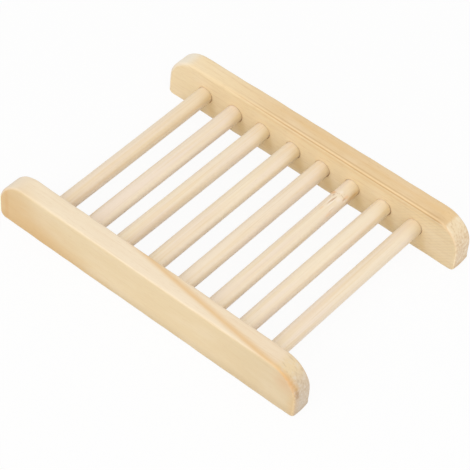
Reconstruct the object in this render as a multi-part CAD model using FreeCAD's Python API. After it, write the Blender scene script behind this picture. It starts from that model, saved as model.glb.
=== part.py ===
import FreeCAD, Part
import math
import os

# Wooden soap dish: two side rails held apart by a row of round dowels glued into blind sockets.
# X runs along the rails, Y along the dowels and Z up. The origin is at the bottom centre, in millimetres.

# Rails
rail_length = 120.0
rail_height = 17.5
rail_thickness = 7.5
rail_gap = 72.0
upper_corner_radius = 10.0
lower_corner_radius = 1.5
edge_round = 0.8

# Dowels, with the first and last one set in from the rails' ends
dowel_count = 8
dowel_diameter = 6.0
dowel_axis_height = 8.75
dowel_end_inset = 16.5
dowel_end_chamfer = 0.5

# Blind sockets in the rails' inner faces, a glue line wider than the dowels
socket_depth = 5.0
glue_clearance = 0.1
socket_mouth_chamfer = 0.25

# Worked out from the sizes above
dowel_row_length = rail_length - 2 * dowel_end_inset
dowel_pitch = dowel_row_length / (dowel_count - 1)
dowel_length = rail_gap + 2 * socket_depth
dowel_radius = dowel_diameter / 2
socket_radius = dowel_radius + glue_clearance
inner_face = rail_gap / 2

origin = FreeCAD.Vector(0, 0, 0)
along_dowels = FreeCAD.Vector(0, 1, 0)
upwards = FreeCAD.Vector(0, 0, 1)
eighth_turn = math.pi / 4
quarter_turn = math.pi / 2


# Quarter circle in the rail's side view, anticlockwise from the start angle
def corner_arc(center_x, center_z, radius, start):
    angles = (start, start + eighth_turn, start + quarter_turn)
    points = [
        FreeCAD.Vector(center_x + radius * math.cos(angle), 0, center_z + radius * math.sin(angle))
        for angle in angles
    ]
    return Part.Arc(*points).toShape()


# Side view of a rail: flat underside, small lower corners, large upper corners
def rail_outline():
    upper_x = rail_length / 2 - upper_corner_radius
    upper_z = rail_height - upper_corner_radius
    lower_x = rail_length / 2 - lower_corner_radius
    corners = [
        corner_arc(upper_x, upper_z, upper_corner_radius, 0),
        corner_arc(-upper_x, upper_z, upper_corner_radius, quarter_turn),
        corner_arc(-lower_x, lower_corner_radius, lower_corner_radius, 2 * quarter_turn),
        corner_arc(lower_x, lower_corner_radius, lower_corner_radius, 3 * quarter_turn),
    ]
    edges = []
    for corner, following in zip(corners, corners[1:] + corners[:1]):
        straight = Part.makeLine(corner.lastVertex().Point, following.firstVertex().Point)
        edges += [corner, straight]
    return Part.Wire(edges)


# Solid turned about the dowel axis from (radius, place along the axis) corners
def turned_solid(corners):
    points = [FreeCAD.Vector(radius, place, 0) for radius, place in corners]
    profile = Part.makePolygon(points + points[:1])
    return Part.Face(profile).revolve(origin, along_dowels, 360)


# Flat-bottomed socket with an eased mouth, cut inwards from a face at Y = 0
def socket_cutter():
    return turned_solid([
        (0, 0),
        (socket_radius + socket_mouth_chamfer, 0),
        (socket_radius, socket_mouth_chamfer),
        (socket_radius, socket_depth),
        (0, socket_depth),
    ])


# Straight dowel with chamfered ends, centred on Y = 0
def dowel_blank():
    end = dowel_length / 2
    return turned_solid([
        (0, -end),
        (dowel_radius - dowel_end_chamfer, -end),
        (dowel_radius, -end + dowel_end_chamfer),
        (dowel_radius, end - dowel_end_chamfer),
        (dowel_radius - dowel_end_chamfer, end),
        (0, end),
    ])


# Axis positions of the dowel row, left to right and centred on the rail
def dowel_positions():
    return [
        FreeCAD.Vector(index * dowel_pitch - dowel_row_length / 2, 0, dowel_axis_height)
        for index in range(dowel_count)
    ]


# Rail with every face edge rounded over and one socket for each dowel, its inner face at Y = 0
def rail_blank():
    rail = Part.Face(rail_outline()).extrude(along_dowels * rail_thickness)
    rim = [edge for edge in rail.Edges if edge.BoundBox.YLength < rail_thickness / 2]
    rail = rail.makeFillet(edge_round, rim)
    return rail.cut([socket_cutter().translated(place) for place in dowel_positions()])


# The two rails are one shape, turned half round for the front
back_rail = rail_blank().translated(along_dowels * inner_face)
front_rail = back_rail.rotated(origin, upwards, 180)
pieces = {"front_rail": front_rail, "back_rail": back_rail}
for number, place in enumerate(dowel_positions(), start=1):
    pieces[f"dowel_{number}"] = dowel_blank().translated(place)

os.makedirs("parts", exist_ok=True)
for name, shape in pieces.items():
    shape.exportStep(f"parts/{name}.step")
    print(f"{name}: {len(shape.Solids)} solid, {shape.Volume:.1f} cubic mm, valid {shape.isValid()}")
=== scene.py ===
import math
from functools import partial

import bmesh
import bpy
import numpy as np
from mathutils import Matrix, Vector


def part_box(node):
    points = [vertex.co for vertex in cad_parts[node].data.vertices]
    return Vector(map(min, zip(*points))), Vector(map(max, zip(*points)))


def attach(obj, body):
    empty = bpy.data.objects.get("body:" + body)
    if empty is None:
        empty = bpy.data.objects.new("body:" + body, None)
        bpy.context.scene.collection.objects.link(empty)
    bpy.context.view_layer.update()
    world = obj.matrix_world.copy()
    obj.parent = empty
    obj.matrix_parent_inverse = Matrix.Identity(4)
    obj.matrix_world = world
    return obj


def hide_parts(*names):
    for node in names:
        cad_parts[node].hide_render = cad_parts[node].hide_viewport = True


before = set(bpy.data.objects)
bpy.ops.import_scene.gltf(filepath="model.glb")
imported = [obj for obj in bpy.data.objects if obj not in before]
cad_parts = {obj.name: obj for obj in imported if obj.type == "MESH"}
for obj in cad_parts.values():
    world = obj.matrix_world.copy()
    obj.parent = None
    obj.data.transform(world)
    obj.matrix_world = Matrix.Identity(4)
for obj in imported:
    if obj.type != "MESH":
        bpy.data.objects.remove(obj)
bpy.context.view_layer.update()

mm = 0.001  # the scene is in metres, the values below are in millimetres unless a note says otherwise


def cadBox(node):
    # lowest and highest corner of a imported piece, in millimetres
    return np.array([list(corner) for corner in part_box(node)]) / mm


def railPlace(node):
    # a rail's lowest and highest corner, the way from its inner face to its outer one, and how far that inner
    # face stands from the middle of the dish
    low, high = cadBox(node)
    outward = 1 if high[1] > -low[1] else -1
    return low, high, outward, min(abs(low[1]), abs(high[1]))


dowelNames = sorted(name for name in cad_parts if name.startswith("dowel_"))
dowelBoxes = np.array([cadBox(name) for name in dowelNames])
dowelX = dowelBoxes[:, :, 0].mean(axis=1)
dowelZ = dowelBoxes[:, :, 2].mean(axis=1)
dowelReach = dowelBoxes[0, 1, 1]  # from the middle of the dish to a dowel's end
# sockets drilled by hand: how far each stands to the right of even spacing
socketDrift = {
    "front_rail": (-0.01, 0.24, -0.59, 0.19, -0.07, 0.16, -0.22, -0.04),
    "back_rail": (-0.26, 0.28, -0.22, 0.22, 0.04, -0.05, 0.21, 0.15),
}
socketX = {node: dowelX + drift for node, drift in socketDrift.items()}
print("frame loaded:", len(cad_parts), "pieces, of which", len(dowelNames), "dowels")


# mesh helpers

weldStep = 1e-4    # points closer than this are one vertex
weldShift = 0.137  # keeps round numbers away from the rounding's steps


def gridQuads(rows, columns, closed):
    # the four corner numbers of each cell in a grid of points, the last column joined to the first if closed
    row, column = np.meshgrid(np.arange(rows - 1), np.arange(columns - (not closed)), indexing="ij")
    beside = (column + 1) % columns
    near, far = row * columns, (row + 1) * columns
    return np.stack([near + column, near + beside, far + beside, far + column], axis=-1).reshape(-1, 4)


def makePiece(name, patches, markNames, material, node):
    # joins grids of points into one closed mesh: equal points become one vertex, and a cell's corner that
    # repeats the one before it, as at a pole, is dropped
    points = np.concatenate([patch["points"].reshape(-1, 3) for patch in patches])
    starts = np.cumsum([0] + [patch["points"][..., 0].size for patch in patches])
    quads = np.concatenate([
        gridQuads(*patch["points"].shape[:2], patch.get("closed", False)) + start
        for patch, start in zip(patches, starts)
    ])
    keys = np.floor(points / weldStep + weldShift).astype(np.int64)
    _, first, welded = np.unique(keys, axis=0, return_index=True, return_inverse=True)
    corners = welded.reshape(-1)[quads]
    kept = corners != np.roll(corners, 1, axis=1)
    counts = kept.sum(axis=1)
    corners, kept, counts = corners[counts > 2], kept[counts > 2], counts[counts > 2]
    mesh = bpy.data.meshes.new(name)
    mesh.vertices.add(len(first))
    mesh.vertices.foreach_set("co", (points[first] * mm).ravel())
    mesh.loops.add(int(counts.sum()))
    mesh.loops.foreach_set("vertex_index", corners[kept].astype(np.int32))
    mesh.polygons.add(len(counts))
    mesh.polygons.foreach_set("loop_start", (np.cumsum(counts) - counts).astype(np.int32))
    mesh.polygons.foreach_set("use_smooth", np.ones(len(counts), bool))
    for mark in markNames:
        values = np.concatenate([
            np.broadcast_to(patch.get(mark, 0.0), patch["points"].shape[:2]).reshape(-1) for patch in patches
        ])
        attribute = mesh.attributes.new(mark, "FLOAT", "POINT")
        attribute.data.foreach_set("value", values[first].astype(np.float32))
    mesh.update(calc_edges=True)
    mesh.validate()
    shell = bmesh.new()
    shell.from_mesh(mesh)
    bmesh.ops.recalc_face_normals(shell, faces=shell.faces)
    openEdges = sum(not edge.is_manifold for edge in shell.edges)
    shell.to_mesh(mesh)
    shell.free()
    mesh.materials.append(material)
    piece = bpy.data.objects.new(name, mesh)
    bpy.context.scene.collection.objects.link(piece)
    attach(piece, "root")
    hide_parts(node)
    print(f"{name}: {len(mesh.vertices)} vertices, {openEdges} open edges")


def wave(place, wavelengths, turns):
    # smooth uneven drift between about -1 and 1: the mean of sines of unrelated wavelengths
    sines = [np.sin(2 * math.pi * (place / length + turn)) for length, turn in zip(wavelengths, turns)]
    return sum(sines) / len(turns)


def coonsPatch(foot, top, left, right):
    # surface over four border curves: the two blends of opposite borders added, less the blend of the corners
    u = np.linspace(0, 1, len(foot))[None, :, None]
    v = np.linspace(0, 1, len(left))[:, None, None]
    acrossBlend = (1 - v) * foot[None] + v * top[None]
    alongBlend = (1 - u) * left[:, None] + u * right[:, None]
    footCorners = (1 - u) * foot[0] + u * foot[-1]
    topCorners = (1 - u) * top[0] + u * top[-1]
    return acrossBlend + alongBlend - (1 - v) * footCorners - v * topCorners


# material helpers

def hexColor(code):
    # sRGB hex to the linear colour that a shader takes
    channels = [int(code[at:at + 2], 16) / 255 for at in (1, 3, 5)]
    linear = [c / 12.92 if c <= 0.04045 else ((c + 0.055) / 1.055) ** 2.4 for c in channels]
    return (*linear, 1.0)


def addNode(tree, kind, inputs=None, output=0, **settings):
    # adds a node, sets its properties, links or sets its inputs, and gives back the wanted output
    node = tree.nodes.new(kind)
    for key, value in settings.items():
        setattr(node, key, value)
    for key, value in (inputs or {}).items():
        if isinstance(value, bpy.types.NodeSocket):
            tree.links.new(value, node.inputs[key])
        else:
            node.inputs[key].default_value = value
    return node.outputs[output] if len(node.outputs) else node


def newMaterial(name):
    # a blank material, and addNode for its own tree
    material = bpy.data.materials.new(name)
    material.use_nodes = True
    material.node_tree.nodes.clear()
    return material, partial(addNode, material.node_tree)


def grainFields(add, place, grains, drift=(0, 0, 0)):
    # one noise for each kind of grain, as long, wide and deep as its three sizes in millimetres
    fields = {}
    for name, (size, detail) in grains.items():
        inverse = tuple(1 / length for length in size)
        moved = add("ShaderNodeVectorMath", {0: place, 1: inverse, 2: drift}, operation="MULTIPLY_ADD")
        fields[name] = add("ShaderNodeTexNoise", {"Vector": moved, "Scale": 1.0, "Detail": detail}, "Fac")
    return fields


def paintLayers(add, color, fields, layers):
    # lays colours over a first one: between two values of its field, a layer goes from nothing to its share
    for field, start, full, share, cover in layers:
        covered = add("ShaderNodeMapRange", {
            "Value": fields[field], "From Min": start, "From Max": full, "To Max": share,
        }, interpolation_type="SMOOTHSTEP")
        color = add("ShaderNodeMix", {"Factor": covered, "A": color, "B": cover}, "Result", data_type="RGBA")
    return color


def woodSurface(add, finish, color, fibre, relief):
    # sanded bare wood: rougher along its fibres, faintly raised by them, with a weak sheen from loose ends
    smooth, rough = finish["roughness"]
    roughness = add("ShaderNodeMapRange", {"Value": fibre, "To Min": smooth, "To Max": rough})
    bump = add("ShaderNodeBump", {
        "Height": relief, "Strength": finish["bumpStrength"], "Distance": finish["fibreRelief"] * mm})
    shader = add("ShaderNodeBsdfPrincipled", {
        "Base Color": color, "Roughness": roughness, "Normal": bump,
        "IOR": finish["ior"], "Sheen Weight": finish["sheen"]})
    add("ShaderNodeOutputMaterial", {"Surface": shader})


# rails: straight bars with a round-cornered outline, eased edges and a row of blind sockets

railShape = {
    "topCorner": 10.0,      # radius of the two upper corners, side view
    "footCorner": 1.8,      # radius of the two lower corners
    "footSquare": 4.0,      # power of the squarer curve that those corners have half way through the rail
    "edgeRound": 0.8,       # sanded round along every edge
    "edgeDrift": 0.22,      # share by which hand sanding changes that round along the edge
    "edgeWaves": (61.0, 23.0, 9.5),   # lengths of that change
    "footReach": 2.5,       # height up to which the lower edges are rounded more or less than the rest
    "leftEaseAt": (-32.0, -20.0),     # upper edges are rounded more to the left, from all to none
    "leftEaseUp": (6.0, 12.0),        # the same upwards, from none to all
    "socketRoom": 0.05,     # socket radius beyond its own dowel's, without the slack
    "socketFloor": 0.2,     # eased edge of a socket's floor
    "glueDepth": 0.11,      # how deep the glue stands that fills the rest of the slack
    "glueFall": 0.02,       # how far the glue's surface falls from the socket's wall to the snug one
    "slackTurn": -38.0,     # where a dowel leaves its socket open, degrees above the right
    "mouthEase": 0.08,      # eased mouth of a socket
    "mouthChip": 0.03,      # how far the mouth's edge frays
    "chipWaves": (2.0, 1.26, 0.9),    # lengths of that fraying
    "cellReach": 5.6,       # flat kept beyond the first and last socket
    "cellCrowd": 0.8,       # below 1 the rows of a cell lie closer together at the socket
    "paintedShadeAt": (3.0, -4.6),           # middle of a painted shadow, right of and below a dowel's axis
    "paintedShadeSize": (2.1, 3.4),          # reach of that painted shadow, sideways and up
}
railMarks = ("endGrain", "upward", "eased", "sideEased", "band", "bore", "paintedShade")
railGrid = {
    "end": 16, "foot": 4, "arc": 14, "rise": 4, "cell": 16, "edge": 7, "flat": 4, "ring": 6, "mouth": 3,
}
# a trim lengthens an end, leftGrow widens the left corners, and an ease is a share added to the sanded round
rails = {
    "front_rail": {
        "name": "FrontRail", "leftTrim": 1.05, "rightTrim": -0.2, "leftGrow": 0.6,
        "footEase": 0.08, "leftEase": 0.18, "turns": (0.13, 0.58, 0.31),
    },
    "back_rail": {
        "name": "BackRail", "leftTrim": -0.5, "rightTrim": 0.35, "leftGrow": 0.0,
        "footEase": -0.5, "leftEase": 0.42, "turns": (0.71, 0.22, 0.93),
    },
}


def arcRun(center, radius, start, end, steps):
    # points and outward normals along a circle's arc, angles in degrees
    angles = np.radians(np.linspace(start, end, steps + 1))
    normals = np.stack([np.cos(angles), np.sin(angles)], axis=-1)
    return np.array(center) + radius * normals, normals


def straightRun(start, end, normal, steps):
    # points of a straight line, each a blend of its two ends, all with the same outward normal
    share = np.linspace(0, 1, steps + 1)[:, None]
    points = (1 - share) * np.array(start) + share * np.array(end)
    return points, np.broadcast_to(normal, points.shape)


def joinRuns(runs):
    # runs that meet end to end, as one run of points and one of normals
    joined = [[part[:-1] for part in run] for run in runs[:-1]] + [list(runs[-1])]
    return [np.concatenate(parts) for parts in zip(*joined)]


def railSides(left, right, height, cellBounds, leftGrow):
    # the outline's four sides of arcs and straights, cut at the middle of each corner: foot and top from left
    # to right, ends upwards
    shape, grid = railShape, railGrid
    topR, footR = shape["topCorner"], shape["footCorner"]
    topL, footL = topR + leftGrow, footR + leftGrow
    footLeft, footRight = (left + footL, footL), (right - footR, footR)
    topLeft, topRight = (left + topL, height - topL), (right - topR, height - topR)
    down, up, out, back = (0, -1), (0, 1), (1, 0), (-1, 0)
    stretches = list(zip(cellBounds[:-1], cellBounds[1:]))
    foot = joinRuns(
        [arcRun(footLeft, footL, 225, 270, grid["foot"]),
         straightRun((footLeft[0], 0), (cellBounds[0], 0), down, grid["end"] - grid["foot"])]
        + [straightRun((a, 0), (b, 0), down, grid["cell"]) for a, b in stretches]
        + [straightRun((cellBounds[-1], 0), (footRight[0], 0), down, grid["end"] - grid["foot"]),
           arcRun(footRight, footR, 270, 315, grid["foot"])])
    top = joinRuns(
        [arcRun(topLeft, topL, 135, 90, grid["arc"]),
         straightRun((topLeft[0], height), (cellBounds[0], height), up, grid["end"] - grid["arc"])]
        + [straightRun((a, height), (b, height), up, grid["cell"]) for a, b in stretches]
        + [straightRun((cellBounds[-1], height), (topRight[0], height), up, grid["end"] - grid["arc"]),
           arcRun(topRight, topR, 90, 45, grid["arc"])])
    leftEnd = joinRuns(
        [arcRun(footLeft, footL, 225, 180, grid["foot"]),
         straightRun((left, footL), (left, topLeft[1]), back, grid["rise"]),
         arcRun(topLeft, topL, 180, 135, grid["arc"])])
    rightEnd = joinRuns(
        [arcRun(footRight, footR, 315, 360, grid["foot"]),
         straightRun((right, footR), (right, topRight[1]), out, grid["rise"]),
         arcRun(topRight, topR, 0, 45, grid["arc"])])
    return foot, top, leftEnd, rightEnd


def railPatches(node):
    # a rail's closed surface: the band round it, its outer face, its inner face and the sockets in that one
    shape, grid, plan = railShape, railGrid, rails[node]
    low, high, outward, innerFace = railPlace(node)
    left, right, height = low[0] - plan["leftTrim"], high[0] + plan["rightTrim"], high[2]
    thickness = high[1] - low[1]
    sockets, reach = socketX[node], shape["cellReach"]
    halfWay = (sockets[1:] + sockets[:-1]) / 2
    cellBounds = np.concatenate([[sockets[0] - reach], halfWay, [sockets[-1] + reach]])
    sides = railSides(left, right, height, cellBounds, plan["leftGrow"])

    def easing(points):
        # radius of the sanded edge: it drifts along the rail and up it, is changed at the foot and grows
        # towards the upper left
        drift = wave(points[..., 0] + 2 * points[..., 1], shape["edgeWaves"], plan["turns"])
        atFoot = np.clip(1 - points[..., 1] / shape["footReach"], 0, 1)
        atLeft = np.interp(points[..., 0], shape["leftEaseAt"], (1, 0))
        above = np.interp(points[..., 1], shape["leftEaseUp"], (0, 1))
        return shape["edgeRound"] * (1 + shape["edgeDrift"] * drift + plan["footEase"] * atFoot
                                     + plan["leftEase"] * atLeft * above)

    def solid(flat, depth):
        # side-view points and their depth behind the inner face, as points of the dish
        depth = np.broadcast_to(depth, flat.shape[:-1])
        return np.stack([flat[..., 0], outward * (innerFace + depth), flat[..., 1]], axis=-1)

    # band round the rail: the outline carried along a profile of quarter circle, straight, quarter circle
    outline, normals = (
        np.concatenate([foot[:-1], rightEnd[:-1], top[:0:-1], leftEnd[:0:-1]])
        for foot, top, leftEnd, rightEnd in zip(*sides))
    radius = easing(outline)[:, None]
    turn = np.linspace(0, math.pi / 2, grid["edge"] + 1)
    across = np.linspace(0, 1, grid["flat"] + 1)[1:-1]
    lean = np.concatenate([np.sin(turn), np.ones(len(across)), np.sin(turn[::-1])])
    inset = radius * (1 - lean)
    near = radius * (1 - np.cos(turn))
    flat = radius + (thickness - 2 * radius) * across
    depth = np.concatenate([near, flat, thickness - near[:, ::-1]], axis=1)
    # lower corners: circles at the faces that swell between them, as a half sine, to the curve on which the
    # same power of x and of z add up to a fixed sum
    power = shape["footSquare"]
    beyond = (np.abs(normals) ** power).sum(axis=-1) ** (-1 / power) - 1
    squarer = shape["footCorner"] * beyond * (normals[:, 1] < 0)
    swell = squarer[:, None] * np.sin(math.pi * depth / thickness)
    band = outline[:, None] + normals[:, None] * (swell - inset)[..., None]
    sideways, upwards = np.abs(normals[:, None, 0]), np.clip(normals[:, None, 1], 0, 1)
    onEdge = np.sin(2 * np.arcsin(lean))   # 1 half way round a sanded edge, 0 on the flats
    warmSide = np.where(normals[:, None, 0] < 0, 1, 2 * upwards)
    patches = [{
        "points": solid(band, depth).transpose(1, 0, 2), "closed": True,
        "endGrain": (sideways * lean).T,
        "upward": (upwards * lean).T,
        # upper eased edges: mask for a paler tone that is partly sanded fibres and partly a painted highlight
        "eased": (upwards * onEdge).T,
        "sideEased": (sideways * warmSide * onEdge).T,
        "band": np.broadcast_to(lean, depth.shape).T,
    }]

    # outer face: one surface over the four inset sides
    foot, top, leftEnd, rightEnd = [run - normal * easing(run)[:, None] for run, normal in sides]
    patches.append({"points": solid(coonsPatch(foot, top, leftEnd, rightEnd), thickness)})

    # inner face: a surface at each end, and between them one cell round each socket
    end, cell = grid["end"], grid["cell"]
    rise = np.linspace(0, 1, len(leftEnd))[:, None]
    posts = [(1 - rise) * foot[at] + rise * top[at] for at in end + cell * np.arange(len(sockets) + 1)]
    patches.append({"points": solid(coonsPatch(foot[:end + 1], top[:end + 1], leftEnd, posts[0]), 0)})
    patches.append({"points": solid(coonsPatch(foot[-end - 1:], top[-end - 1:], posts[-1], rightEnd), 0)})
    slackTurn = math.radians(shape["slackTurn"])
    slackWay = np.array([math.cos(slackTurn), math.sin(slackTurn)])
    socketDepth = dowelReach - innerFace
    ease, floorEase, glue = shape["mouthEase"], shape["socketFloor"], shape["glueDepth"]
    bend = np.linspace(0, math.pi / 2, grid["mouth"] + 1)
    for number, (x, z) in enumerate(zip(sockets, dowelZ)):
        at = end + cell * number
        slack = dowelShape["slacks"][number]
        snug = dowelShape["diameters"][number] / 2 + shape["socketRoom"]
        bore = snug + slack / 2
        axis = np.array([x, z])
        center = axis + slackWay * slack / 2
        rim = np.concatenate([foot[at:at + cell], posts[number + 1][:-1],
                              top[at + cell:at:-1], posts[number][:0:-1]])
        angle = np.arctan2(rim[:, 1] - center[1], rim[:, 0] - center[0])
        ray = np.stack([np.cos(angle), np.sin(angle)], axis=-1)
        chip = shape["mouthChip"] * wave(4 * np.sin(angle) + number, shape["chipWaves"], plan["turns"])
        mouth = bore + ease + chip
        # cell: straight lines from its border to the socket's mouth
        share = np.linspace(0, 1, grid["ring"] + 1)[:, None, None] ** shape["cellCrowd"]
        cellPoints = share * (center + ray * mouth[:, None]) + (1 - share) * rim
        # painted shadow: a warm darker patch right of and below each socket
        aside = (cellPoints - axis - shape["paintedShadeAt"]) / shape["paintedShadeSize"]
        paintedShade = np.exp(-(aside ** 2).sum(axis=-1))
        patches.append({"points": solid(cellPoints, 0), "closed": True, "paintedShade": paintedShade})
        # socket: a profile of rounded mouth, short wall, ring of glue, snug wall and flat floor, carried
        # round the socket's middle as far as the glue and round the dowel's axis below it
        mouthRows = bore + (1 - np.sin(bend))[:, None] * (mouth - bore)
        snugRows = np.array([snug, snug, snug - floorEase, snug / 2, 0])[:, None] * np.ones(len(angle))
        upper = center + np.concatenate([mouthRows, mouthRows[-1:]])[..., None] * ray
        lower = axis + snugRows[..., None] * ray
        depths = np.concatenate([
            ease * (1 - np.cos(bend)),
            [glue, glue + shape["glueFall"], socketDepth - floorEase],
            np.full(3, socketDepth)])[:, None]
        patches.append({"points": solid(np.concatenate([upper, lower]), depths), "closed": True, "bore": 1.0})
    return patches


# dowels: round sticks, each a little different in size, faintly bowed and out of round

dowelShape = {
    "diameters": (5.8, 6.15, 5.95, 6.1, 5.9, 5.95, 5.95, 5.9),
    "slacks": (0.20, 0.18, 0.08, 0.10, 0.18, 0.06, 0.16, 0.05),   # play between a stick and its socket
    "tones": (-0.4, 0.0, -0.1, 0.0, 0.0, -0.1, 0.0, 0.0),   # warmer below 0
    "blushes": (0.1, 0.5, 0.0, 0.1, 0.4, 0.1, 0.0, 0.2),    # pinker and greyer above 0
    "endEase": 0.5,
    "bow": 0.10,            # rise of the stick's middle out of line
    "outOfRound": 0.006,    # share of the radius
    "threeSided": 0.6,      # three-sided form beside the two-sided one, as a share of it
    "ripple": 0.012,        # turning marks along the stick
    "rippleWaves": (31.0, 13.0, 5.3),
    "paintedShadeFrom": 27.0,      # from here on the stick's right side is painted darker and warmer, as shade, up to the back rail
    "paintedShadeIn": (-20.0, 60.0),     # that colour fades in here, degrees right of the top
    "paintedShadeOut": (110.0, 170.0),   # and out here
    # streaks of older and younger wood: middle and spread round the stick in degrees right of the top, from
    # and to along it, strength
    "duskStreaks": {
        "dowel_1": ((66.0, 15.0, -44.0, 20.0, 0.40), (66.0, 15.0, 0.0, 52.0, 0.33),
                    (25.0, 18.0, -60.0, 60.0, 0.22)),
        "dowel_3": ((60.0, 18.0, -36.0, 14.0, 0.36),),
        "dowel_6": ((-20.0, 7.0, 16.0, 30.0, 0.35), (22.0, 14.0, -20.0, 44.0, 0.20)),
        "dowel_8": ((2.0, 24.0, -62.0, 22.0, 0.33), (2.0, 24.0, -2.0, 62.0, 0.28)),
    },
    "paleStreaks": {
        "dowel_2": ((62.0, 20.0, -60.0, 60.0, 0.64),),
        "dowel_4": ((56.0, 22.0, -60.0, 60.0, 0.60),),
        "dowel_5": ((54.0, 22.0, -70.0, 30.0, 0.45),),
        "dowel_6": ((52.0, 22.0, -70.0, 40.0, 0.55),),
        "dowel_7": ((44.0, 14.0, -60.0, 60.0, 0.50),),
    },
    "seed": 11,
}
nodeMarks = ("nodeDark", "nodePale", "nodeGlow", "nodeGold")
dowelMarks = ("nodeRing", *nodeMarks, "duskStreak", "paleStreak", "paintedShade", "tone", "blush")
dowelGrid = {"around": 80, "along": 200}
bambooNode = {
    "dowel": "dowel_6",
    "place": 28.7,          # along the stick from its middle, towards the back rail
    "slant": 0.6,           # how far the ring leans along the stick
    "slantTurn": 29.0,      # where the leaning ring crosses its own place, degrees right of the top
    "ringWidth": 0.45,
    "ridge": 0.06, "ridgeAt": 0.7, "ridgeWidth": 0.9,   # height, place beyond the ring, reach along the stick
    "groove": 0.06, "grooveWidth": 0.3, "grooveWaves": (1.9, 0.8, 0.5),
    # each mark: middle and spread round the stick in degrees right of the top, from and to along the stick
    # beyond the ring, strength
    "nodeDark": (
        (3.0, 3.4, -7.2, -2.0, 1.3), (7.5, 3.2, -4.6, -0.8, 1.4), (49.0, 4.0, -9.2, -4.4, 0.6),
        (-16.0, 6.0, -2.0, -0.2, 1.0), (53.0, 6.0, -1.8, 0.8, 1.0), (28.0, 6.0, 0.2, 1.8, 0.6),
        (92.0, 14.0, -0.4, 1.8, 0.9),
    ),
    "nodePale": (
        (13.5, 3.6, -7.6, -2.0, 1.0), (-6.0, 3.6, -6.4, -2.0, 1.0), (41.0, 4.0, -8.2, -4.6, 0.8),
        (30.0, 16.0, -3.6, -0.4, 0.8), (63.0, 4.0, -1.4, 0.8, 1.2), (8.0, 14.0, 0.2, 2.2, 0.7),
    ),
    "nodeGlow": (
        (-30.0, 9.0, -0.9, 1.0, 1.2), (-52.0, 12.0, -0.8, 1.6, 1.4), (52.0, 14.0, -0.8, 2.4, 0.6),
        (-3.0, 7.0, -10.0, -6.8, 0.6), (60.0, 12.0, -11.0, -6.6, 0.5),
    ),
    "nodeGold": ((88.0, 26.0, -0.6, 7.8, 1.0),),
}


def markField(fromTop, off, marks):
    # bell curves round the stick, each faded in and out along its stretch as a half sine
    return sum(strength * np.exp(-((fromTop - middle) / spread) ** 2)
               * np.sin(math.pi * np.clip((off - start) / (end - start), 0, 1))
               for middle, spread, start, end, strength in marks)


def dowelPatch(index):
    # circle of drifting radius carried along a faintly bowed line from the front rail's socket to the back
    # rail's, with two flat, eased ends
    shape, grid, name = dowelShape, dowelGrid, dowelNames[index]
    chance = np.random.default_rng(shape["seed"] + index)
    radius = shape["diameters"][index] / 2
    ease = shape["endEase"]
    straight = np.linspace(-dowelReach + ease, dowelReach - ease, grid["along"])
    along = np.concatenate([[-dowelReach] * 2, straight, [dowelReach] * 2])[:, None]
    reach = np.concatenate([[0, radius - ease], np.full(grid["along"], radius), [radius - ease, 0]])[:, None]
    angle = np.linspace(0, 2 * math.pi, grid["around"], endpoint=False)[None, :]
    fromTop = np.degrees(np.arctan2(np.cos(angle), np.sin(angle)))
    turns = chance.random(6)
    twoSided = np.cos(2 * angle + 2 * math.pi * turns[0])
    roundness = twoSided + shape["threeSided"] * np.cos(3 * angle + 2 * math.pi * turns[1])
    ripple = shape["ripple"] * wave(along + 2 * np.sin(angle), shape["rippleWaves"], turns[2:5])
    swell = 1 + shape["outOfRound"] * roundness + ripple / radius
    marks = {}
    if name == bambooNode["dowel"]:
        # node: a ridge beside a groove, both bell curves along the stick, the groove uneven round it
        plan = bambooNode
        off = along - plan["place"] - plan["slant"] * np.sin(np.radians(fromTop - plan["slantTurn"]))
        marks = {mark: markField(fromTop, off, plan[mark]) for mark in nodeMarks}
        marks["nodeRing"] = np.exp(-(off / plan["ringWidth"]) ** 2)
        ridge = plan["ridge"] * np.exp(-((off - plan["ridgeAt"]) / plan["ridgeWidth"]) ** 2)
        groove = plan["groove"] * np.exp(-(off / plan["grooveWidth"]) ** 2)
        groove = groove * (1 + wave(2 * np.sin(angle), plan["grooveWaves"], turns[:3])) / 2
        swell = swell + (ridge - groove) / radius
    bow = shape["bow"] * (1 - (along / dowelReach) ** 2)
    lean = 2 * math.pi * turns[5]
    backward = (1 + along / dowelReach) / 2
    axisX = (1 - backward) * socketX["front_rail"][index] + backward * socketX["back_rail"][index]
    points = np.stack(np.broadcast_arrays(
        axisX + bow * math.cos(lean) + reach * swell * np.cos(angle),
        along,
        dowelZ[index] + bow * math.sin(lean) + reach * swell * np.sin(angle)), axis=-1)
    innerFace = railPlace("back_rail")[3]
    # painted shade: the stick's right side darker and warmer towards the back rail
    shadeReach = np.interp(along, (shape["paintedShadeFrom"], innerFace), (0, 1))
    shadeSide = np.interp(fromTop, shape["paintedShadeIn"], (0, 1)) * np.interp(fromTop, shape["paintedShadeOut"], (1, 0))
    return {
        "points": points, "closed": True, **marks,
        "duskStreak": markField(fromTop, along, shape["duskStreaks"].get(name, ())),
        "paleStreak": markField(fromTop, along, shape["paleStreaks"].get(name, ())),
        "paintedShade": shadeReach * shadeSide,
        "tone": shape["tones"][index], "blush": shape["blushes"][index],
    }


# pale softwood, planed and sanded, no varnish: matt, warm cream, with soft golden growth lines, fine lines
# along the length and a pinkish speckle where the fibres end

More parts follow.
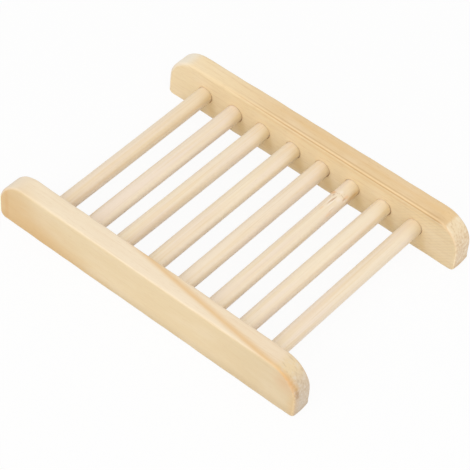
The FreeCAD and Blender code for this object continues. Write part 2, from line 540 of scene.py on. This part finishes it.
pineFinish = {
    "colors": {
        "late": "#dca955", "heart": "#d6a75d", "fibre": "#cda46e", "resin": "#9a6a36", "rim": "#d8a26a",
        # the last colour on the next line is the painted shadow beside the sockets
        "dust": "#f7e8d0", "dull": "#bda57f", "boreShade": "#c99a5c", "paintedShade": "#ddbc76",
    },
    "roughness": (0.46, 0.62), "fibreRelief": 0.05, "bumpStrength": 0.25, "ior": 1.5, "sheen": 0.15,
    # length along the rail, width across it, depth, then how much finer detail each grain holds. Real fibres
    # are a few hundredths of a millimetre wide and are drawn coarser, so that they show.
    "grains": {
        "warp": ((30.0, 5.0, 5.0), 2.0),
        "cloud": ((16.0, 5.0, 5.0), 2.0),
        "streak": ((17.0, 1.2, 1.2), 2.0),
        "fibre": ((11.0, 0.4, 0.4), 3.0),
        "fleck": ((2.6, 0.4, 0.4), 1.0),
        "speckle": ((5.0, 0.8, 0.8), 2.0),
    },
    "topLeftAt": (-6.0, -46.0), "topRightAt": (26.0, 52.0),   # the top turns to its end colours between these
    "leftRimAt": 2.2,           # from the left end to the middle of a warm line up the face
    "heartBlur": 16.0,          # how far the clouds move the border of the heartwood
    "pocketRag": 0.5,           # how ragged a resin pocket's rim is, as a share of its sizes
    "pocketRim": (1.6, 0.4),    # where that rim fades in, as shares of them
    "sawSpacing": 1.1,          # between saw marks
    "sawLean": 37.0,            # degrees
    "sawAt": (27.0, 52.0),      # where they fade in
}
# places in a rail: x along it, w from the inner face outwards, h below the top; a slope gives a field's
# change per millimetre of each. Growth lines lie where the ring field has a line's value. Something fades in
# from the first to the second of a pair of limits, and a pair outside the rail means everywhere or nowhere.
railGrain = {
    "front_rail": {
        "colors": {
            "face": "#e6cfa5", "top": "#f1dec1", "topLeft": "#f1debf", "topRight": "#ecd8bb",
            # the first colour on the next line paints the upper eased edges paler: sanded fibres and a
            # painted highlight
            "eased": "#f6e2bf", "brow": "#e6d0a9", "browLeft": "#f2dfc2",
            "endBase": "#d4c1a8", "endPale": "#e0d6c9", "endDark": "#bda78b",
        },
        "easedHighlightShare": 0.10, "sideShare": 0.35, "leftRimShare": 0.40, "footShadeShare": 0.38, "paintedShadeShare": 0.0,
        # shares of the turn from the top to an end, negative to the left
        "browAt": (0.0, 0.30), "browLeftAt": (0.0, -0.5), "endAt": (0.5, 0.97),
        "ringSlopes": (-0.125, 1.0, 0.33), "ringCurve": 0.0001, "ringStart": 0.85, "warp": 0.9,
        "lines": ((0.0, 2.0, 0.50, "late"), (0.35, 0.7, 0.14, "late")),   # value, reach, share, colour
        "linesOnFaces": 0.0, "linesAlong": (-70.0, -69.0),
        "linesEnd": (0.99, 0.90), "linesBelow": (99.0, 98.0), "zoneShare": 0.08,
        "tintSlopes": (1.0, -2.0, -1.9), "tintAt": (-42.0, -84.0), "tintShare": 0.56,
        "streakShare": 0.05, "fibreShare": 0.16, "fleckShare": 0.12,
        "dullAt": (14.0, 64.0), "dullShare": 0.29, "sawShare": 0.0,
        "pockets": (   # middle, sizes, share, colour
            ((59.4, 6.2, 7.7), (2.2, 0.9, 2.2), 0.52, "resin"),
            ((56.0, 7.1, 3.8), (5.4, 1.4, 5.2), 0.40, "rim"),
            ((60.0, 7.5, 12.0), (3.0, 2.6, 7.0), 0.32, "late"),
        ),
        "drift": (3.1, 0.4, 7.7),
    },
    "back_rail": {
        "colors": {
            "face": "#f2daae", "top": "#e7c796", "topLeft": "#f3daae", "topRight": "#e8c795",
            # the first colour on the next line paints the upper eased edges paler: sanded fibres and a
            # painted highlight
            "eased": "#fadca6", "brow": "#efd8b2", "browLeft": "#f5e8d0",
            "endBase": "#e8cda8", "endPale": "#f6e7cb", "endDark": "#cdaa7a",
        },
        "easedHighlightShare": 0.05, "sideShare": 0.20, "leftRimShare": 0.0, "footShadeShare": 0.12, "paintedShadeShare": 0.5,
        "browAt": (0.36, 0.47), "browLeftAt": (0.05, -0.45), "endAt": (0.65, 1.0),
        "ringSlopes": (0.008, 1.0, -1.0), "ringCurve": 0.0, "ringStart": 0.05, "warp": 0.25,
        "lines": ((-0.1, 0.55, 0.95, "fibre"), (0.6, 0.35, 0.5, "eased"), (1.3, 0.5, 0.55, "fibre"),
                  (-1.8, 1.4, 0.26, "late"), (4.4, 1.7, 0.15, "late")),
        "linesOnFaces": 1.0, "linesAlong": (-46.0, -8.0),
        "linesEnd": (0.30, 0.05), "linesBelow": (3.0, 1.5), "zoneShare": 0.0,
        "tintSlopes": (1.0, 0.0, 0.0), "tintAt": (99.0, 100.0), "tintShare": 0.0,
        "streakShare": 0.10, "fibreShare": 0.24, "fleckShare": 0.20,
        "dullAt": (24.0, 62.0), "dullShare": 0.28, "sawShare": 0.13,
        "pockets": (((51.0, 1.0, 0.3), (4.5, 2.2, 2.0), 0.16, "resin"),),
        "drift": (41.3, 5.2, 1.9),
    },
}


def pineMaterial(node):
    finish, plan = pineFinish, railGrain[node]
    material, add = newMaterial("PineSandedMatt_" + rails[node]["name"])
    low, high, outward, innerFace = railPlace(node)
    inRail = add("ShaderNodeMapping", {
        "Vector": add("ShaderNodeTexCoord", output="Object"),
        "Scale": (1 / mm, outward / mm, -1 / mm),
        "Location": (0, -innerFace, high[2])})
    fields = grainFields(add, inRail, finish["grains"], plan["drift"])
    for mark in railMarks:
        fields[mark] = add("ShaderNodeAttribute", output="Fac", attribute_name=mark)
    along = fields["along"] = add("ShaderNodeSeparateXYZ", {0: inRail})
    fields["below"] = along.node.outputs["Z"]
    side = add("ShaderNodeMath", {0: along}, operation="SIGN")
    fields["endSide"] = add("ShaderNodeMath", {0: fields["endGrain"], 1: side}, operation="MULTIPLY")
    fromLeft = add("ShaderNodeMath", {0: along, 1: -low[0] - finish["leftRimAt"]}, operation="ADD")
    fields["leftRim"] = add("ShaderNodeMath", {0: fromLeft}, operation="ABSOLUTE")
    colors = {key: hexColor(code) for key, code in (finish["colors"] | plan["colors"]).items()}

    # ring field: a sloping plane, bent along the rail and warped by noise
    ring = add("ShaderNodeVectorMath", {0: inRail, 1: plan["ringSlopes"]}, "Value", operation="DOT_PRODUCT")
    square = add("ShaderNodeMath", {0: along, 1: along}, operation="MULTIPLY")
    ring = add("ShaderNodeMath", {0: square, 1: plan["ringCurve"], 2: ring}, operation="MULTIPLY_ADD")
    ring = add("ShaderNodeMath", {0: fields["warp"], 1: plan["warp"], 2: ring}, operation="MULTIPLY_ADD")
    ring = add("ShaderNodeMath", {0: ring, 1: plan["ringStart"] + plan["warp"] / 2}, operation="SUBTRACT")
    fields["ring"] = ring

    # growth lines: nearness to each line's value, on the band round the rail and, if so set, on its faces
    begun = add("ShaderNodeMapRange", {"Value": fields["band"], "To Min": plan["linesOnFaces"]})
    for field, limits in (("along", "linesAlong"), ("endGrain", "linesEnd"), ("below", "linesBelow")):
        start, full = plan[limits]
        begun = add("ShaderNodeMapRange", {
            "Value": fields[field], "From Min": start, "From Max": full, "To Max": begun})
    lineLayers = []
    for value, reach, share, color in plan["lines"]:
        off = add("ShaderNodeMath", {0: ring, 1: value}, operation="SUBTRACT")
        off = add("ShaderNodeMath", {0: off}, operation="ABSOLUTE")
        name = f"line at {value}"
        fields[name] = add("ShaderNodeMapRange", {
            "Value": off, "From Min": reach, "From Max": 0.0, "To Max": begun})
        lineLayers.append((name, 0.0, 1.0, share, colors[color]))

    # warm heartwood: a second sloping plane, blurred by the clouds
    tint = add("ShaderNodeVectorMath", {0: inRail, 1: plan["tintSlopes"]}, "Value", operation="DOT_PRODUCT")
    fields["tint"] = add("ShaderNodeMath", {
        0: fields["cloud"], 1: finish["heartBlur"], 2: tint}, operation="MULTIPLY_ADD")

    # resin pockets: how far away each one's middle is, in its own sizes, with a ragged rim
    pocketLayers = []
    for middle, size, share, color in plan["pockets"]:
        away = add("ShaderNodeVectorMath", {0: inRail, 1: middle}, operation="SUBTRACT")
        away = add("ShaderNodeVectorMath", {0: away, 1: size}, operation="DIVIDE")
        away = add("ShaderNodeVectorMath", {0: away}, "Value", operation="LENGTH")
        name = f"pocket at {middle}"
        fields[name] = add("ShaderNodeMath", {
            0: fields["speckle"], 1: finish["pocketRag"], 2: away}, operation="MULTIPLY_ADD")
        pocketLayers.append((name, *finish["pocketRim"], share, colors[color]))

    # saw marks: slanted lines that fade in towards the right end
    pace, lean = 2 * math.pi / finish["sawSpacing"], math.radians(finish["sawLean"])
    sawSlopes = (pace * math.sin(lean), 0, pace * math.cos(lean))
    saw = add("ShaderNodeVectorMath", {0: inRail, 1: sawSlopes}, "Value", operation="DOT_PRODUCT")
    saw = add("ShaderNodeMath", {0: saw}, operation="SINE")
    start, full = finish["sawAt"]
    sawn = add("ShaderNodeMapRange", {"Value": along, "From Min": start, "From Max": full})
    fields["saw"] = add("ShaderNodeMath", {0: saw, 1: sawn}, operation="MULTIPLY")

    top = paintLayers(add, colors["top"], fields, [
        ("along", *finish["topLeftAt"], 1.0, colors["topLeft"]),
        ("along", *finish["topRightAt"], 1.0, colors["topRight"]),
    ])
    endWood = paintLayers(add, colors["endBase"], fields, [
        ("speckle", 0.50, 0.68, 0.60, colors["endPale"]),
        ("speckle", 0.48, 0.32, 0.50, colors["endDark"]),
        # painted shade: the end grain darker towards the foot, near the floor
        ("below", 13.6, 16.6, 0.55, colors["endDark"]),
    ])
    brow = paintLayers(add, colors["brow"], fields, [
        ("speckle", 0.52, 0.68, 0.45, colors["endPale"]),
        ("speckle", 0.47, 0.32, 0.40, colors["endDark"]),
    ])
    wood = paintLayers(add, colors["face"], fields, [
        ("saw", -0.2, 1.0, plan["sawShare"], colors["dull"]),
        ("along", *plan["dullAt"], plan["dullShare"], colors["dull"]),
        # painted shade: the faces darker towards the foot, near the floor
        ("below", 12.5, 17.0, plan["footShadeShare"], colors["dull"]),
        ("leftRim", 1.4, 0.0, plan["leftRimShare"], colors["rim"]),
        # painted shadow beside the sockets
        ("paintedShade", 0.0, 1.0, plan["paintedShadeShare"], colors["paintedShade"]),
        ("upward", 0.25, 0.95, 1.0, top),
        ("cloud", 0.42, 0.72, 0.16, colors["dust"]),
        ("tint", *plan["tintAt"], plan["tintShare"], colors["heart"]),
        ("streak", 0.45, 0.72, plan["streakShare"], colors["fibre"]),
        ("fibre", 0.50, 0.80, plan["fibreShare"], colors["fibre"]),
        ("fleck", 0.55, 0.75, plan["fleckShare"], colors["fibre"]),
        # painted highlight along the upper eased edges, partly their sanded paleness
        ("eased", 0.2, 1.0, plan["easedHighlightShare"], colors["eased"]),
        ("endSide", *plan["browAt"], 1.0, brow),
        ("endSide", *plan["browLeftAt"], 1.0, colors["browLeft"]),
        ("endGrain", *plan["endAt"], 1.0, endWood),
        ("sideEased", 0.2, 1.0, plan["sideShare"], colors["rim"]),
        ("ring", 0.5, -2.5, plan["zoneShare"], colors["late"]),
        *lineLayers,
        *pocketLayers,
        ("bore", 0.0, 1.0, 1.0, colors["boreShade"]),
    ])
    relief = add("ShaderNodeMath", {
        0: fields["speckle"], 1: fields["endGrain"], 2: fields["fibre"]}, operation="MULTIPLY_ADD")
    woodSurface(add, finish, wood, fields["fibre"], relief)
    return material


# bamboo, turned to a round stick and sanded, no varnish: paler than the rails, with long straight fibres

bambooFinish = {
    "colors": {
        "base": "#f2e1c5", "warm": "#e9cfa2", "blush": "#eedccb", "fibre": "#cba97b", "dusk": "#dcba86",
        # the second colour on the next line paints the shade on the sticks near the back rail
        "light": "#fdeed4", "paintedShade": "#d2bb8a", "nodeDark": "#aa6e26", "nodePale": "#f8ebdc",
        "nodeGlow": "#f0bc82", "nodeGold": "#c4922f",
    },
    "roughness": (0.42, 0.58), "fibreRelief": 0.05, "bumpStrength": 0.25, "ior": 1.5, "sheen": 0.15,
    # width, length along the stick, depth, then how much finer detail each grain holds. Real fibres are a
    # hundredth of a millimetre or two wide and are drawn coarser, so that they show.
    "grains": {
        "fibre": ((0.30, 26.0, 0.30), 3.0),
        "streak": ((1.1, 48.0, 1.1), 2.0),
        "tint": ((3.5, 30.0, 3.5), 1.0),
        "dash": ((0.22, 3.5, 0.22), 1.0),
        "crumb": ((0.5, 0.6, 0.5), 2.0),
    },
}


def bambooMaterial():
    finish = bambooFinish
    material, add = newMaterial("BambooStickSanded")
    place = add("ShaderNodeMapping", {
        "Vector": add("ShaderNodeTexCoord", output="Object"), "Scale": (1 / mm,) * 3})
    fields = grainFields(add, place, finish["grains"])
    for mark in dowelMarks:
        fields[mark] = add("ShaderNodeAttribute", output="Fac", attribute_name=mark)
    for broken, mark, grain in (("ringLine", "nodeRing", "crumb"), ("scar", "nodeDark", "dash")):
        fields[broken] = add("ShaderNodeMath", {0: fields[mark], 1: fields[grain]}, operation="MULTIPLY")
    colors = {key: hexColor(code) for key, code in finish["colors"].items()}
    wood = paintLayers(add, colors["base"], fields, [
        ("tint", 0.40, 0.65, 0.5, colors["blush"]),
        ("blush", 0.0, 1.0, 0.7, colors["blush"]),
        ("streak", 0.45, 0.75, 0.50, colors["warm"]),
        ("fibre", 0.50, 0.80, 0.26, colors["fibre"]),
        ("dash", 0.68, 0.80, 0.22, colors["fibre"]),
        ("tone", 0.0, -1.0, 0.45, colors["warm"]),
        ("duskStreak", 0.0, 1.0, 1.0, colors["dusk"]),
        ("paleStreak", 0.0, 1.0, 1.0, colors["light"]),
        # painted shade on the sticks' right sides near the back rail
        ("paintedShade", 0.0, 1.0, 0.65, colors["paintedShade"]),
        ("nodeGold", 0.0, 1.0, 0.54, colors["nodeGold"]),
        ("nodeGlow", 0.0, 1.0, 0.75, colors["nodeGlow"]),
        ("nodePale", 0.0, 1.0, 0.85, colors["nodePale"]),
        ("scar", 0.03, 0.62, 0.62, colors["nodeDark"]),
        ("ringLine", 0.28, 0.62, 0.40, colors["nodeDark"]),
    ])
    woodSurface(add, finish, wood, fields["fibre"], fields["fibre"])
    return material


for node in rails:
    makePiece(rails[node]["name"], railPatches(node), railMarks, pineMaterial(node), node)
bamboo = bambooMaterial()
for index, node in enumerate(dowelNames):
    makePiece(f"Dowel{index + 1}", [dowelPatch(index)], dowelMarks, bamboo, node)


# stage: pale floor, white surround, a large soft lamp above the camera and a weaker one to its left

studio = {
    "floorHalf": 4.0,          # metres, as are the lamps' places and sizes
    "floorColor": "#edecea",
    "floorGlow": 0.92,         # share of the floor that the camera sees as plain white
    "skyLight": 0.70,
    "lamps": {
        "KeyLamp": {"place": (0.52, -0.50, 0.98), "size": 0.7, "power": 4.4},
        "FillLamp": {"place": (-0.10, -1.00, 0.62), "size": 0.8, "power": 2.3},
    },
}


def seenDirectly(add):
    # 1 for rays from the camera and for reflections and views through glass, 0 for rays that carry light
    path = add("ShaderNodeLightPath").node.outputs
    seen = add("ShaderNodeMath", {0: path["Is Camera Ray"], 1: path["Is Glossy Ray"]}, operation="MAXIMUM")
    return add("ShaderNodeMath", {0: seen, 1: path["Is Transmission Ray"]}, operation="MAXIMUM")


def buildFloor():
    # level square under the dish, matt for the light and mostly plain white for the eye
    half = studio["floorHalf"]
    corners = [(-half, -half, 0), (half, -half, 0), (half, half, 0), (-half, half, 0)]
    mesh = bpy.data.meshes.new("Floor")
    mesh.from_pydata(corners, [], [(0, 1, 2, 3)])
    floor = bpy.data.objects.new("Floor", mesh)
    bpy.context.scene.collection.objects.link(floor)
    material, add = newMaterial("MattWhiteFloor")
    glow = add("ShaderNodeMath", {0: seenDirectly(add), 1: studio["floorGlow"]}, operation="MULTIPLY")
    matt = add("ShaderNodeBsdfDiffuse", {"Color": hexColor(studio["floorColor"])})
    white = add("ShaderNodeEmission", {"Color": (1, 1, 1, 1), "Strength": 1.0})
    add("ShaderNodeOutputMaterial", {"Surface": add("ShaderNodeMixShader", {0: glow, 1: matt, 2: white})})
    mesh.materials.append(material)


def buildSurround():
    # white for the eye, a little weaker as a light
    world = bpy.data.worlds.new("WhiteSurround")
    world.use_nodes = True
    world.node_tree.nodes.clear()
    add = partial(addNode, world.node_tree)
    strength = add("ShaderNodeMapRange", {
        "Value": seenDirectly(add), "To Min": studio["skyLight"], "To Max": 1.0})
    background = add("ShaderNodeBackground", {"Color": (1, 1, 1, 1), "Strength": strength})
    add("ShaderNodeOutputWorld", {"Surface": background})
    bpy.context.scene.world = world


def lookMatrix(place, back, roll):
    # axes of something that looks along -back: right is level, then both turn by roll about back
    right = np.cross((0, 0, 1), back)
    right = right / np.linalg.norm(right)
    up = np.cross(back, right)
    turnedRight = math.cos(roll) * right + math.sin(roll) * up
    turnedUp = math.cos(roll) * up - math.sin(roll) * right
    matrix = np.eye(4)
    matrix[:3] = np.stack([turnedRight, turnedUp, back, place], axis=-1)
    return matrix


def buildLamps():
    # round soft lamps that face the middle of the dish
    for name, plan in studio["lamps"].items():
        data = bpy.data.lights.new(name, "AREA")
        data.shape = "DISK"
        data.size = plan["size"]
        data.energy = plan["power"]
        lamp = bpy.data.objects.new(name, data)
        bpy.context.scene.collection.objects.link(lamp)
        place = np.array(plan["place"])
        lamp.matrix_world = Matrix(lookMatrix(place, place / np.linalg.norm(place), 0.0))


# camera: long lens from the front right, above, turned a few degrees about its own axis

cameraView = {
    "azimuth": 37.09, "elevation": 47.60, "roll": 4.33,   # degrees
    "distance": 663.75, "asideRight": 0.36, "asideUp": 0.71,
    "lensPixels": 2084.6, "imageWidth": 470, "sensor": 36.0,
    "clip": (0.01, 50.0),   # metres
}


def buildCamera():
    # stands off along its view's direction, moved a little aside in its own picture
    view = cameraView
    azimuth, elevation, roll = (math.radians(view[key]) for key in ("azimuth", "elevation", "roll"))
    back = np.array([math.sin(azimuth) * math.cos(elevation), -math.cos(azimuth) * math.cos(elevation),
                     math.sin(elevation)])
    axes = lookMatrix((0, 0, 0), back, roll)
    place = axes[:3, 0] * view["asideRight"] + axes[:3, 1] * view["asideUp"] + back * view["distance"]
    data = bpy.data.cameras.new("Camera")
    data.sensor_width = view["sensor"]
    data.lens = view["lensPixels"] * view["sensor"] / view["imageWidth"]
    data.clip_start, data.clip_end = view["clip"]
    camera = bpy.data.objects.new("Camera", data)
    bpy.context.scene.collection.objects.link(camera)
    axes[:3, 3] = place * mm
    camera.matrix_world = Matrix(axes)
    bpy.context.scene.camera = camera


buildFloor()
buildSurround()
buildLamps()
buildCamera()
bpy.context.scene.view_settings.view_transform = "Standard"
print("stage, lamps and camera ready")
